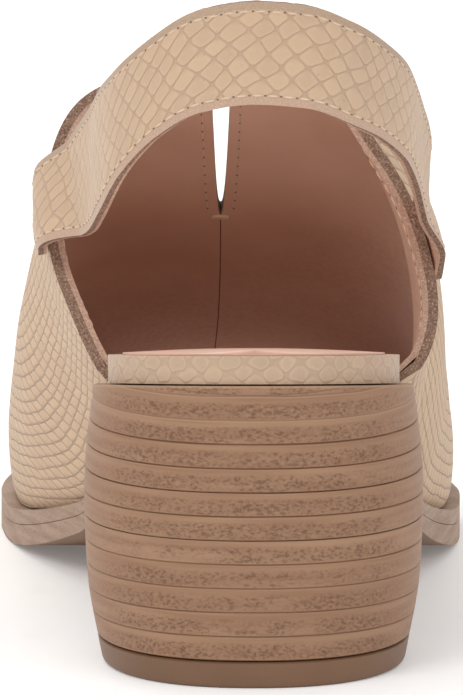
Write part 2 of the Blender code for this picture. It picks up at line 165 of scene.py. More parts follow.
class Finish:  # one material and the nodes that are added to it
    def __init__(self, name, roughness=0.6, **constants):
        self.material = bpy.data.materials.new(name)
        self.material.use_nodes = True
        self.tree = self.material.node_tree
        self.surface = self.tree.nodes["Principled BSDF"]
        self.surface.inputs["Roughness"].default_value = roughness
        for socket, value in constants.items():
            self.surface.inputs[socket.replace("_", " ")].default_value = value

    def feed(self, socket, value):
        if isinstance(value, Signal):
            self.tree.links.new(value.socket, socket)
        elif isinstance(value, tuple) and socket.type == "RGBA":
            socket.default_value = (*value, 1)
        else:
            socket.default_value = value

    def node(self, kind, settings, inputs, output=0):
        made = self.tree.nodes.new(kind)
        for name, value in settings.items():
            setattr(made, name, value)
        for name, value in inputs.items():
            self.feed(made.inputs[name], value)
        return Signal(self, made.outputs[output])

    def maths(self, operation, *values):
        return self.node("ShaderNodeMath", {"operation": operation}, dict(enumerate(values)))

    def mix(self, share, first, second):
        return self.node("ShaderNodeMix", {"data_type": "RGBA"}, {0: share, 6: first, 7: second}, 2)

    def step(self, value, start, end):
        ends = {0: value, 1: start, 2: end}
        return self.node("ShaderNodeMapRange", {"interpolation_type": "SMOOTHSTEP"}, ends)

    def where(self):
        return self.node("ShaderNodeTexCoord", {}, {}, "Object")

    def parts(self, vector):
        first = self.node("ShaderNodeSeparateXYZ", {}, {0: vector})
        return [Signal(self, first.socket.node.outputs[i]) for i in range(3)]

    def join(self, x, y, z=0.0):
        return self.node("ShaderNodeCombineXYZ", {}, {0: x, 1: y, 2: z})

    def cloud(self, size, vector=None, detail=2.0, rough=0.5):
        place = vector or self.where()
        values = {"Vector": place, "Scale": 1 / size, "Detail": detail, "Roughness": rough}
        return self.node("ShaderNodeTexNoise", {}, values)

    def bump(self, height):
        return self.node("ShaderNodeBump", {}, {"Height": height, "Distance": 1.0}, "Normal")

    def paint(self, colour=None, height=None, roughness=None):
        for name, value in (("Base Color", colour), ("Roughness", roughness)):
            if value is not None:
                self.feed(self.surface.inputs[name], value)
        if height is not None:
            self.feed(self.surface.inputs["Normal"], self.bump(height))
        return self


def scaled(colour, factor):
    return tuple(min(part * factor, 1.0) for part in colour)


# Embossed scale leather. The lattice lies in the piece's own UV map, in millimetres: stepA and
# stepB are one cell's two sides, and wobble shifts them so that no two scales are quite alike.
embossing = {  # what all scale leathers share: sizes in millimetres, shares, and heights in metres
    "sheen": 0.12, "sheenRoughness": 0.5, "secondWobble": 0.83, "variety": 0.06, "shade": 0.05,
    "grainSize": 0.45, "grainShare": 0.22, "grainDepth": 0.00004, "patchSize": 14.0, "patchShare": 0.3,
    "dotSize": 0.8, "fraySize": 0.9, "fibreSize": 0.35, "frayReach": 0.0007,
    "bareShare": 0.88, "bareFlat": 0.8,
}


def scaleLeather(name, look):
    finish = Finish(name, look["roughness"], Sheen_Weight=embossing["sheen"],
                    Sheen_Roughness=embossing["sheenRoughness"])
    flat = finish.node("ShaderNodeUVMap", {"uv_map": "pattern"}, {})
    along, up = finish.parts(flat)[:2]
    along = along * 1000
    up = up * 1000
    chart = finish.join(along, up)
    (ax, ay), (bx, by) = look["stepA"], look["stepB"]
    area = ax * by - ay * bx
    wobbleA = (finish.cloud(look["wobbleSize"], chart, 1.0) - 0.5) * look["wobble"]
    crossed = finish.join(up, along, 7.0)
    wobbleB = finish.cloud(look["wobbleSize"] * embossing["secondWobble"], crossed, 1.0) - 0.5
    wobbleB = wobbleB * look["wobble"]
    alpha = along * (by / area) - up * (bx / area) + wobbleA
    beta = up * (ax / area) - along * (ay / area) + wobbleB
    tile = finish.join(finish.maths("FLOOR", alpha), finish.maths("FLOOR", beta))
    chance = finish.node("ShaderNodeTexWhiteNoise", {"noise_dimensions": "3D"}, {"Vector": tile}, "Value")
    sideA = finish.maths("FRACT", alpha) * 2 - 1
    sideB = finish.maths("FRACT", beta) * 2 - 1
    power = look["squareness"]
    reach = (abs(sideA) ** power + abs(sideB) ** power) ** (1 / power)
    reach = reach + (chance - 0.5) * embossing["variety"]
    raised = 1 - finish.step(reach, look["edgeStart"], look["edgeEnd"])
    slope = (sideA * look["leanA"] + sideB * look["leanB"]) * raised
    grain = finish.cloud(embossing["grainSize"], chart, 3.0, 0.6)
    patches = finish.cloud(embossing["patchSize"], chart, 2.0)
    dots = finish.step(finish.cloud(embossing["dotSize"], chart, 1.0), 0.70, 0.76)
    # Painted highlight: a paler ring on each raised scale, between its middle and its edge.
    rimHighlight = finish.step(reach, 0.42, 0.78) * raised
    shade = embossing["shade"]
    body = finish.mix(chance, scaled(look["colour"], 1 - shade), scaled(look["colour"], 1 + shade))
    body = finish.mix(rimHighlight * look["rimHighlightShare"], body, look["rimHighlightColour"])
    body = finish.mix((1 - raised) * look["grooveShare"], body, look["grooveAndShadeColour"])
    # Painted shade: one side of each raised scale is darkened towards the groove colour, as if lit from the
    # upper left.
    body = finish.mix(finish.step(slope, 0.25, 0.8) * look["leanShade"], body, look["grooveAndShadeColour"])
    cloudy = finish.step(patches, 0.42, 0.7) * embossing["patchShare"]
    body = finish.mix(cloudy, body, look["patchColour"])
    worn = finish.step(grain, 0.55, 0.8) * embossing["grainShare"]
    body = finish.mix(worn, body, scaled(look["colour"], 0.72))
    body = finish.mix(dots * look["dots"], body, look["dotColour"])
    domed = (1 - reach * reach) * look["depth"] * look["dome"]
    height = raised * look["depth"] + domed - slope * look["depth"] * 0.5
    if "margins" in look:  # bare bands beyond the stitches: width and colour, lower and upper
        edges = finish.node("ShaderNodeUVMap", {"uv_map": "margin"}, {})
        ragged = (finish.cloud(embossing["fraySize"], chart, 3.0, 0.7) - 0.5) * embossing["frayReach"]
        fibres = finish.step(finish.cloud(embossing["fibreSize"], chart, 3.0, 0.7), 0.4, 0.7)
        for distance, (width, colour) in zip(finish.parts(edges), look["margins"]):
            bare = 1 - finish.step(distance + ragged, width - 0.00025, width + 0.00015)
            fibrous = finish.mix(fibres, scaled(colour, 0.84), scaled(colour, 1.12))
            body = finish.mix(bare * embossing["bareShare"], body, fibrous)
            height = height * (1 - bare * embossing["bareFlat"])
    return finish.paint(body, height + grain * embossing["grainDepth"], 0.5 + grain * 0.25)


strapLook = {
    "stepA": (3.1, 2.3), "stepB": (2.1, -2.3), "wobble": 0.75, "wobbleSize": 9.0, "squareness": 5.0,
    "edgeStart": 0.86, "edgeEnd": 1.0, "depth": 0.00010, "dome": 0.9,
    # leanA and leanB tilt each scale's bump; leanShade paints shade on one side of each scale in the groove
    # colour, which is also the grooves' own dark print.
    "leanA": 0.5, "leanB": -0.5, "leanShade": 0.30,
    # The rim colour and share paint a highlight round each scale.
    "colour": (0.52, 0.36, 0.238), "rimHighlightColour": (0.59, 0.425, 0.29), "rimHighlightShare": 0.3,
    "grooveAndShadeColour": (0.36, 0.23, 0.15), "grooveShare": 0.5, "patchColour": (0.50, 0.34, 0.222),
    "dotColour": (0.2, 0.12, 0.07), "dots": 0.25, "roughness": 0.62,
    "margins": ((0.0016, (0.50, 0.335, 0.245)), (0.0014, (0.43, 0.30, 0.21))),
}
vampLook = {
    "stepA": (4.3, 0.2), "stepB": (1.5, 2.7), "wobble": 0.7, "wobbleSize": 14.0, "squareness": 5.0,
    "edgeStart": 0.84, "edgeEnd": 1.0, "depth": 0.00017, "dome": 0.7,
    # leanA and leanB tilt each scale's bump; leanShade paints shade on one side of each scale in the groove
    # colour, which is also the grooves' own dark print.
    "leanA": 0.3, "leanB": -0.8, "leanShade": 0.35,
    # The rim colour and share paint a highlight round each scale.
    "colour": (0.54, 0.36, 0.218), "rimHighlightColour": (0.61, 0.43, 0.275), "rimHighlightShare": 0.35,
    "grooveAndShadeColour": (0.27, 0.16, 0.095), "grooveShare": 0.62, "patchColour": (0.51, 0.33, 0.198),
    "dotColour": (0.2, 0.12, 0.07), "dots": 0.3, "roughness": 0.62,
}
seatLook = dict(strapLook, stepA=(2.9, 2.2), stepB=(2.6, -2.2), squareness=2.6, edgeStart=0.82,
                depth=0.00007, colour=(0.455, 0.317, 0.222), patchColour=(0.49, 0.36, 0.24),
                grooveAndShadeColour=(0.40, 0.27, 0.18), grooveShare=0.45)
del seatLook["margins"]


# Cut edges of leather: short pale and dark fibres over a middle brown.
def cutEdge(name, look):
    finish = Finish(name, 0.85)
    speck = finish.cloud(0.00042, None, 3.0, 0.7)
    streak = finish.cloud(0.0016, None, 2.0)
    colour = finish.mix(finish.step(speck, 0.36, 0.64), look["dark"], look["middle"])
    colour = finish.mix(finish.step(speck, 0.56, 0.74), colour, look["pale"])
    colour = finish.mix(finish.step(streak, 0.45, 0.7) * 0.3, colour, look["middle"])
    return finish.paint(colour, speck * look["depth"])


# Lining leather, smooth above and pebbled towards the sole.
def liningLeather(name, look):
    finish = Finish(name, 0.5)
    place = finish.where()
    x, _, z = finish.parts(place)
    pebble = finish.node("ShaderNodeTexVoronoi", {"feature": "SMOOTH_F1"},
                         {"Vector": place, "Scale": 1 / look["pebbleSize"], "Smoothness": 0.5})
    low = 1 - finish.step(z + x * -0.35, look["pebbleLow"], look["pebbleHigh"])
    fine = finish.cloud(0.0006, place, 3.0, 0.6)
    broad = finish.cloud(0.018, place, 2.0)
    colour = finish.mix(finish.step(broad, 0.35, 0.7), look["dark"], look["colour"])
    colour = finish.mix(finish.step(pebble, 0.25, 0.6) * low * 0.35, colour, look["pale"])
    height = (0.5 - pebble) * (low * 0.9 + 0.1) * look["depth"] + fine * 0.00002
    return finish.paint(colour, height, 0.42 + fine * 0.2)


# Stacked leather: one band per lift, pale and smooth below each joint, mottled under that, a painted
# highlight along each joint, and a thin wedge below the seat.
def stackedLeather(name, look):
    finish = Finish(name, 0.55)
    place = finish.where()
    x, y, z = finish.parts(place)
    speck = finish.cloud(0.00062, finish.join(x * 0.75, y * 0.75, z * 1.25), 2.5, 0.65)
    broad = finish.cloud(0.012, finish.join(x, y, z * 2.2), 2.0)
    streak = finish.cloud(0.0032, finish.join(x * 0.12, y * 0.12, z * 2.0), 2.0)
    rise = (z + (broad - 0.5) * 0.0004 - look["bottom"]) / look["lift"]
    share = finish.maths("FRACT", rise)
    number = finish.maths("FLOOR", rise)
    lift = finish.node("ShaderNodeTexWhiteNoise", {"noise_dimensions": "1D"}, {"W": number}, "Value")
    pale = finish.step(share, look["paleFrom"] - 0.14, look["paleFrom"] + 0.1)
    band = finish.step(share, 0.0, 0.16) * (1 - pale)
    corner = finish.step(abs(x), look["corner"] - 0.007, look["corner"] + 0.001)
    mask = band * (1 - corner * 0.85) * finish.step(broad, 0.22, 0.55)
    colour = finish.mix(finish.step(streak, 0.3, 0.7), look["middle"], look["pale"])
    colour = finish.mix(lift * 0.35, colour, look["middle"])
    colour = finish.mix(mask * 0.45, colour, look["dark"])
    colour = finish.mix(finish.step(speck, 0.5, 0.62) * mask * 0.75, colour, look["deep"])
    colour = finish.mix((1 - finish.step(speck, 0.34, 0.46)) * mask * 0.5, colour, look["pale"])
    line = 1 - finish.step(abs(share - 0.5), 0.43, 0.47)
    # Painted highlight: a thin pale line just below each joint between lifts.
    edge = 1 - finish.step(abs(share - 0.965), 0.012, 0.035)
    colour = finish.mix((1 - line) * 0.35, colour, look["deep"])
    colour = finish.mix(edge * 0.5, colour, look["jointHighlight"])
    under = look["seatHeight"] - y * look["seatTilt"] - z  # a thin wedge lies under the seat
    belly = finish.maths("MAXIMUM", 1 - (x / look["wedgeHalf"]) ** 2, 0.0) * look["wedgeDepth"]
    wedge = 1 - finish.step(abs(under - belly - 0.0002), 0.00006, 0.00022)
    colour = finish.mix(wedge * 0.5, colour, look["deep"])
    # The same painted highlight just under the seat.
    colour = finish.mix((1 - finish.step(under, 0.0002, 0.0006)) * 0.6, colour, look["jointHighlight"])
    height = speck * 0.00004 + streak * 0.00003
    return finish.paint(colour, height, 0.48 + speck * 0.2)


# Edge of the sole: pressed leather in faint level streaks, with dark specks.
def soleEdge(name, look):
    finish = Finish(name, 0.55)
    place = finish.where()
    x, y, z = finish.parts(place)
    speck = finish.cloud(0.0006, finish.join(x, y, z * 1.4), 2.5, 0.65)
    streak = finish.cloud(0.003, finish.join(x * 0.2, y * 0.2, z * 2.5), 2.0)
    colour = finish.mix(finish.step(streak, 0.3, 0.7), look["dark"], look["pale"])
    colour = finish.mix(finish.step(speck, 0.52, 0.66) * 0.5, colour, look["deep"])
    return finish.paint(colour, speck * 0.00003 + streak * 0.00002, 0.45 + speck * 0.25)


def plainFinish(name, look):  # smooth stock with a faint cloudiness and a fine bump
    finish = Finish(name, look["roughness"])
    broad = finish.cloud(look.get("broad", 0.015), None, 2.0)
    fine = finish.cloud(look.get("fine", 0.0005), None, 3.0, 0.6)
    base = look["colour"]
    colour = finish.mix(finish.step(broad, 0.3, 0.7), scaled(base, 0.93), scaled(base, 1.05))
    colour = finish.mix(finish.step(fine, 0.5, 0.75) * 0.25, colour, scaled(base, 0.75))
    roughness = look["roughness"] - 0.06 + fine * 0.12
    return finish.paint(colour, fine * look.get("depth", 0.00003), roughness)


strapScales = scaleLeather("strapScaleLeather", strapLook)
vampScales = scaleLeather("vampScaleLeather", vampLook)
seatScales = scaleLeather("seatScaleLeather", seatLook)
rawEdge = cutEdge("rawLeatherEdge", {"dark": (0.13, 0.07, 0.045), "middle": (0.31, 0.185, 0.125),
                                     "pale": (0.58, 0.42, 0.32), "depth": 0.0002})
pinkEdge = cutEdge("rawLiningEdge", {"dark": (0.36, 0.21, 0.15), "middle": (0.50, 0.32, 0.235),
                                     "pale": (0.66, 0.47, 0.36), "depth": 0.00015})
vampLiningLeather = liningLeather("vampLiningLeather", {
    "dark": (0.66, 0.42, 0.31), "colour": (0.72, 0.47, 0.355), "pale": (0.80, 0.57, 0.46),
    "pebbleSize": 0.0013, "pebbleLow": 0.045, "pebbleHigh": 0.075, "depth": 0.00010})
strapLiningLeather = liningLeather("strapLiningLeather", {
    "dark": (0.63, 0.37, 0.26), "colour": (0.67, 0.40, 0.285), "pale": (0.71, 0.445, 0.33),
    "pebbleSize": 0.0012, "pebbleLow": 0.02, "pebbleHigh": 0.05, "depth": 0.00006})
heelLeather = stackedLeather("stackedHeelLeather", {
    "bottom": 0.0053, "lift": 0.0046, "paleFrom": 0.72, "corner": 0.029,
    "deep": (0.115, 0.05, 0.023), "dark": (0.2, 0.097, 0.05), "middle": (0.262, 0.134, 0.073),
    "pale": (0.33, 0.188, 0.108), "jointHighlight": (0.43, 0.265, 0.162),
    "seatHeight": last["heelHeight"] - last["heelToOrigin"] * last["seatTilt"],
    "seatTilt": last["seatTilt"],
    "wedgeHalf": 0.0175, "wedgeDepth": 0.0016})
soleLeather = soleEdge("soleEdgeLeather", {"deep": (0.15, 0.085, 0.05), "dark": (0.28, 0.17, 0.11),
                                           "pale": (0.37, 0.245, 0.17)})
treadRubber = plainFinish("treadRubber", {
    "colour": (0.24, 0.14, 0.085), "roughness": 0.62, "depth": 0.00006})
topPieceRubber = plainFinish("topPieceRubber", {"colour": (0.168, 0.084, 0.042), "roughness": 0.5})
sockLeather = plainFinish("sockLeather", {
    "colour": (0.71, 0.45, 0.345), "roughness": 0.5, "fine": 0.0008})
threadCream = plainFinish("creamThread", {
    "colour": (0.66, 0.50, 0.36), "roughness": 0.6, "fine": 0.0003})
# Painted shade: the dark needle-hole colour stands for the shade inside each stitch hole.
holeShade = plainFinish("needleHoleShade", {"colour": (0.20, 0.12, 0.08), "roughness": 0.9})
seamLine = plainFinish("seamLine", {"colour": (0.10, 0.042, 0.028), "roughness": 0.8})
floorPaint = plainFinish("paleFloor", {
    "colour": studio["floorColour"], "roughness": 0.8, "broad": 0.5,
    "fine": 0.01, "depth": 0.0})
floorPaint.surface.inputs["Emission Color"].default_value = (1, 1, 1, 1)
floorPaint.surface.inputs["Emission Strength"].default_value = studio["floorGlow"]
print("finishes mixed")

floorMesh = bmesh.new()
bmesh.ops.create_circle(floorMesh, cap_ends=True, segments=64, radius=studio["floorRadius"])
floorData = bpy.data.meshes.new("paleFloor")
floorMesh.to_mesh(floorData)
floorMesh.free()
floorData.materials.append(floorPaint.material)
floorObject = bpy.data.objects.new("paleFloor", floorData)
scene.collection.objects.link(floorObject)


def smoothCurve(points, column=1, scale=1.0, run=1.0):  # through every point, never past one
    places = [row[0] * run for row in points]
    values = [row[column] * scale for row in points]
    steps = [(values[i + 1] - values[i]) / (places[i + 1] - places[i]) for i in range(len(places) - 1)]
    slopes = [steps[0]]
    for before, after in zip(steps, steps[1:]):
        slopes.append(2 * before * after / (before + after) if before * after > 0 else 0.0)
    slopes.append(steps[-1])

    def value(place):
        i = min(max(bisect_right(places, place) - 1, 0), len(steps) - 1)
        span = places[i + 1] - places[i]
        s = min(max((place - places[i]) / span, 0.0), 1.0)
        start = values[i] * (1 + 2 * s) * (1 - s) ** 2 + values[i + 1] * s * s * (3 - 2 * s)
        return start + span * (slopes[i] * s * (1 - s) ** 2 - slopes[i + 1] * s * s * (1 - s))

    return value


def softStep(start, end, place):
    s = min(max((place - start) / (end - start), 0.0), 1.0)
    return s * s * (3 - 2 * s)


length, ballWidth = last["length"], last["ballWidth"]
edgeThickness = sole["outsole"] + sole["gap"] + sole["midsole"]
soleCentre = smoothCurve(sole["plan"], 1, ballWidth, length)
soleHalf = smoothCurve(sole["plan"], 2, ballWidth, length)
ridgeX = smoothCurve(last["rows"], 1, ballWidth, length)
ridgeHeight = smoothCurve(last["rows"], 2, last["instepHeight"], length)
flares, squareness = {}, {}
for side, column in ((-1, 3), (1, 4)):
    flares[side] = smoothCurve(last["rows"], column, ballWidth, length)
    squareness[side] = smoothCurve(last["rows"], column + 2, 1.0, length)
rearEdge = smoothCurve(last["rearEdge"], 1, length)
toeEdge = smoothCurve(last["toeEdge"], 1, length)


def seatPlane(y):
    return last["heelHeight"] - y * last["seatTilt"]


seatEnd = seatPlane(seat["length"])
sideRows = [(seat["length"], seatEnd - edgeThickness * sole["waistShare"], sole["waistShare"])]
for along, rise, spring, share in sole["side"]:
    sideRows.append((along * length, rise * last["heelHeight"] + spring * last["toeSpring"], share))
soleBottom = smoothCurve(sideRows, 1)
soleShare = smoothCurve(sideRows, 2)


def soleTop(y):
    return soleBottom(y) + edgeThickness * soleShare(y)


def soleSide(y, side, inset=0.0, tip=length):
    start = sole["toeStart"] * length
    s = min(max((y - start) / (tip - start), 0.0), 1.0)
    rounded = (1 - s ** sole["toePower"]) ** (1 / sole["toePower"])
    return soleCentre(y) + side * (soleHalf(y) - inset) * rounded


def lip(y):
    full = softStep(seat["length"], sole["lipFrom"] * length, y)
    return sole["waistLip"] + (sole["lip"] - sole["waistLip"]) * full


def vampFoot(y):
    return soleTop(y) + sole["gap"]


def vampSection(y, side, up):
    square = squareness[side](y)
    foot = abs(soleSide(y, side, lip(y)) - ridgeX(y))
    half = foot + flares[side](y) * math.sin(up * math.pi / 2) ** last["flarePower"][side]
    return ridgeX(y) + side * half * max(1 - up**square, 0.0) ** (1 / square)


def vampAtHeight(y, side, z):
    foot = vampFoot(y)
    return vampSection(y, side, min(max((z - foot) / (ridgeHeight(y) - foot), 0.0), 1.0))


def wingHeight(up):  # how high the vamp's open back stands at that share of the way up
    y = rearEdge(up)
    return vampFoot(y) + up * (ridgeHeight(y) - vampFoot(y))


wingSteps = 24
wingShares = [i / wingSteps for i in range(wingSteps + 1)]
wingEdge = smoothCurve([(wingHeight(share), rearEdge(share)) for share in wingShares])


# Helpers that every piece is built with.
tiny = 1e-6  # anything nearer than this counts as touching


def sheet(columns, rows, place=None):  # a grid whose points are placed by two shares, 0 to 1
    bm = bmesh.new()
    bmesh.ops.create_grid(bm, x_segments=columns, y_segments=rows, size=0.5)
    bm.verts.layers.float_vector.new("flat")  # first the two shares, then where the pattern lies
    shift = bm.verts.layers.float_vector.new("shift")  # from the sheet to the wall's other face
    flat = bm.verts.layers.float_vector["flat"]
    for vert in bm.verts:
        vert[flat] = (vert.co.x + 0.5, vert.co.y + 0.5, 0)
        if place:
            vert.co = place(vert.co.x + 0.5, vert.co.y + 0.5)
    return bm, flat, shift


def thicken(bm, shift, rimSlot=0, innerSlot=0):  # closes a sheet into a wall with its own rim
    sheetParts = bm.verts[:] + bm.edges[:] + bm.faces[:]
    made = bmesh.ops.extrude_face_region(bm, geom=sheetParts, use_keep_orig=True)["geom"]
    moved = {item for item in made if isinstance(item, bmesh.types.BMVert)}
    for vert in moved:
        vert.co += vert[shift]
    for face in bm.faces:
        count = sum(vert in moved for vert in face.verts)
        if count == len(face.verts):
            face.material_index = innerSlot
        elif count:
            face.material_index = rimSlot
    bmesh.ops.recalc_face_normals(bm, faces=bm.faces)
    return moved


def layPattern(bm, flat):  # UV maps in metres: where the pattern lies, and how far both long edges are
    bm.loops.layers.uv.new("pattern")
    bm.loops.layers.uv.new("margin")
    pattern, margin = bm.loops.layers.uv["pattern"], bm.loops.layers.uv["margin"]
    for face in bm.faces:
        for loop in face.loops:
            along, up, half = loop.vert[flat]
            loop[pattern].uv = (along, up)
            loop[margin].uv = (half + up, half - up)


def finishPiece(name, bm, finishes, replaces=None, sharp=40):
    bmesh.ops.translate(bm, verts=bm.verts, vec=(0, -last["heelToOrigin"], 0))
    mesh = bpy.data.meshes.new(name)
    bm.to_mesh(mesh)
    bm.free()
    for finish in finishes:
        mesh.materials.append(finish.material)
    mesh.shade_smooth()
    mesh.set_sharp_from_angle(angle=math.radians(sharp))
    piece = bpy.data.objects.new(name, mesh)
    scene.collection.objects.link(piece)
    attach(piece, "root")
    if replaces:
        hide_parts(replaces)
    print(name, "made,", sum(len(face.vertices) - 2 for face in mesh.polygons), "triangles")


def runningLength(points):
    lengths = [0.0]
    for before, after in zip(points, points[1:]):
        lengths.append(lengths[-1] + (after - before).length)
    return lengths


# Vamp and its lining: one share runs up each side, the other forward from the open back.
vamp = {
    "columns": 216, "rows": 132, "liningColumns": 132, "liningRows": 84,
    "leather": 0.0019, "lining": 0.00108, "between": 0.00002,
    "slitRun": 0.035, "slitWidth": 0.0039, "slitRows": 1 / 3, "slitSpread": 0.25,
    "roundness": 2.4, "patternStart": 0.3, "probe": 0.004,
}


def slitHalf(y):
    s = min(max((y - rearEdge(1.0)) / vamp["slitRun"], 0.0), 1.0)
    return vamp["slitWidth"] / 2 * math.sqrt(1 - s)


# Girth is 0 at the sole and 1 at the ridge, and forward is 0 at the open back and 1 at the toe.
def vampPoint(side, girth, forward):
    up = math.sin(min(girth, 1.0) * math.pi / 2) ** (2 / vamp["roundness"])
    slitShare = vamp["slitRun"] / (toeEdge(1.0) - rearEdge(1.0))
    slitRows = vamp["slitRows"]
    if forward <= slitRows:
        travel = slitShare * forward / slitRows
    else:
        travel = slitShare + (1 - slitShare) * (forward - slitRows) / (1 - slitRows)
    y = rearEdge(up) + (toeEdge(up) - rearEdge(up)) * travel
    foot = vampFoot(y)
    opened = max(girth - (1 - vamp["slitSpread"]), 0.0)
    x = vampSection(y, side, up) + side * slitHalf(y) * opened / vamp["slitSpread"]
    return Vector((x, y, foot + up * (ridgeHeight(y) - foot)))


def girthLengths(side, count=40):  # lengths over the leather, so that the scales keep their size
    table = []
    for j in range(count + 1):
        column = [vampPoint(side, i / count, j / count) for i in range(count + 1)]
        table.append(runningLength(column))
    row = runningLength([vampPoint(side, 0.45, j / count) for j in range(count + 1)])

    def lookUp(girth, forward):
        i, j = min(int(girth * count), count - 1), min(int(forward * count), count - 1)
        s, t = girth * count - i, forward * count - j
        low = table[j][i] * (1 - s) + table[j][i + 1] * s
        high = table[j + 1][i] * (1 - s) + table[j + 1][i + 1] * s
        return row[j] * (1 - t) + row[j + 1] * t, low * (1 - t) + high * t

    return lookUp


def vampSheet(columns, rows, start, thickness):
    bm, flat, shift = sheet(columns, rows)
    ridge = [edge for edge in bm.edges
             if all(abs(vert.co.x) < tiny and vert.co.y + 0.5 < vamp["slitRows"] + tiny
                    for vert in edge.verts)]
    bmesh.ops.split_edges(bm, edges=ridge)
    lookUps = {side: girthLengths(side) for side in (-1, 1)}
    spots = {}
    for vert in bm.verts:
        side = 1 if sum(face.calc_center_median().x for face in vert.link_faces) > 0 else -1
        girth, forward = 1 - abs(2 * vert.co.x), vert.co.y + 0.5
        spots[vert] = (side, girth, forward)
    for vert, (side, girth, forward) in spots.items():
        vert.co = vampPoint(side, girth, forward)
        run, rise = lookUps[side](girth, forward)
        vert[flat] = (run * (1 if side < 0 else -1) + vamp["patternStart"], rise, 0)
    bmesh.ops.recalc_face_normals(bm, faces=bm.faces)
    bm.normal_update()
    if sum(vert.normal.z for vert in bm.verts) < 0:
        bmesh.ops.reverse_faces(bm, faces=bm.faces)
        bm.normal_update()
    for vert, (side, girth, forward) in spots.items():
        normal = vert.normal.copy()
        if girth < tiny:
            normal.z = 0
            normal.normalize()
        vert[shift] = normal * -thickness
        vert.co -= normal * start
    return bm, flat, shift


bm, flat, shift = vampSheet(vamp["columns"], vamp["rows"], 0.0, vamp["leather"])
thicken(bm, shift, 1, 1)
layPattern(bm, flat)
finishPiece("vampLeather", bm, [vampScales, rawEdge], "upper")

under = vamp["leather"] + vamp["between"]
bm, flat, shift = vampSheet(vamp["liningColumns"], vamp["liningRows"], under, vamp["lining"])
thicken(bm, shift, 1, 0)
finishPiece("vampLining", bm, [vampLiningLeather, pinkEdge])

# Sling strap: its rows go round behind the foot, from the inner tab to the outer one.
strap = {
    "spread": 0.034, "height": 0.121, "width": 0.0195,
    "clearance": 0.0006, "approach": 0.016, "touch": 0.004,
    "thickness": 0.0017, "lining": 0.0006, "between": 0.00002,
    "columns": 380, "bands": 30, "liningColumns": 260, "liningBands": 14, "samples": 400,
    "crown": 0.0007, "crownReach": 0.0035, "freeUntil": 0.09, "liesFrom": 0.22,
    "fray": 0.00018, "frayPitch": 900, "probe": 0.0015, "bandProbe": 0.02,
    "rows": [  # across, along, height, width
        (-1.30, 0.377, 0.634, 0.10), (-1.25, 0.366, 0.634, 0.38), (-1.20, 0.350, 0.638, 0.54),
        (-1.16, 0.322, 0.653, 0.74), (-1.08, 0.2966, 0.678, 0.92), (-0.99, 0.262, 0.717, 1.05),
        (-0.878, 0.191, 0.769, 1.20), (-0.835, 0.127, 0.814, 1.20), (-0.74, 0.072, 0.872, 1.08),
        (-0.525, 0.034, 0.943, 1.0), (-0.28, 0.0145, 0.987, 1.0), (0.0, 0.0102, 1.0, 1.0),
        (0.28, 0.0145, 0.993, 1.0), (0.525, 0.032, 0.963, 1.0), (0.703, 0.067, 0.925, 0.96),
        (0.832, 0.115, 0.877, 0.95), (0.882, 0.169, 0.826, 0.94), (0.91, 0.212, 0.785, 0.98),
        (0.95, 0.254, 0.735, 1.04), (0.985, 0.292, 0.668, 1.0), (1.0, 0.322, 0.618, 0.84),
        (1.0, 0.350, 0.602, 0.58), (1.0, 0.366, 0.600, 0.40), (1.0, 0.377, 0.600, 0.10),
    ],
}
strapRows = [(i / (len(strap["rows"]) - 1), *row) for i, row in enumerate(strap["rows"])]
strapAcross = smoothCurve(strapRows, 1, strap["spread"])
strapAlong = smoothCurve(strapRows, 2, length)
strapHeight = smoothCurve(strapRows, 3, strap["height"])
strapWidth = smoothCurve(strapRows, 4, strap["width"])


def strapInner(run, band):
    x, y = strapAcross(run), strapAlong(run)
    z = strapHeight(run) + (band - 0.5) * strapWidth(run)
    side = -1 if x < 0 else 1
    edge = wingEdge(z) - strap["touch"]
    lies = softStep(edge - strap["approach"], edge, y)
    reach = abs(x) * (1 - lies) + (abs(vampAtHeight(max(y, edge), side, z)) + strap["clearance"]) * lies
    return Vector((side * reach, y, z))


def strapPoint(run, band, lift):  # a point that far out from the strap's inner face, and the way out
    d, e = strap["probe"], strap["bandProbe"]
    alongRun = strapInner(min(run + d, 1), band) - strapInner(max(run - d, 0), band)
    alongBand = strapInner(run, min(band + e, 1)) - strapInner(run, max(band - e, 0))
    out = alongRun.cross(alongBand).normalized()
    free = 1 - softStep(strap["freeUntil"] * length, strap["liesFrom"] * length, strapAlong(run))
    fromEdge = min(band, 1 - band) * strapWidth(run)
    droop = strap["crown"] * free * (1 - softStep(0.0, strap["crownReach"], fromEdge))
    return strapInner(run, band) + out * (lift - droop), out


def strapSheet(columns, bands, start, thickness, fray=0.0):
    bm, flat, shift = sheet(columns, bands)
    count = strap["samples"]
    centre = runningLength([strapInner(i / count, 0.5) for i in range(count + 1)])
    for vert in bm.verts:
        run, band = vert[flat].x, vert[flat].y
        place, out = strapPoint(run, band, start)
        if fray and (band < tiny or band > 1 - tiny):
            place.z += noise.noise(Vector((run * strap["frayPitch"], band * 5, 0))) * fray
        vert.co = place
        vert[shift] = out * thickness
        i = min(int(run * count), count - 1)
        travelled = centre[i] + (centre[i + 1] - centre[i]) * (run * count - i)
        vert[flat] = (travelled, (band - 0.5) * strapWidth(run), strapWidth(run) / 2)
    return bm, flat, shift


under = strap["lining"] + strap["between"]
leather = strap["thickness"] - strap["lining"] - strap["between"]
bm, flat, shift = strapSheet(strap["columns"], strap["bands"], under, leather)
moved = thicken(bm, shift, 1, 0)
for face in bm.faces:
    if not any(vert in moved for vert in face.verts):
        face.material_index = 1
layPattern(bm, flat)
finishPiece("strapLeather", bm, [strapScales, rawEdge], "sling_strap")

columns, bands = strap["liningColumns"], strap["liningBands"]
bm, flat, shift = strapSheet(columns, bands, 0.0, strap["lining"], strap["fray"])
thicken(bm, shift, 1, 0)
finishPiece("strapLining", bm, [strapLiningLeather, pinkEdge])

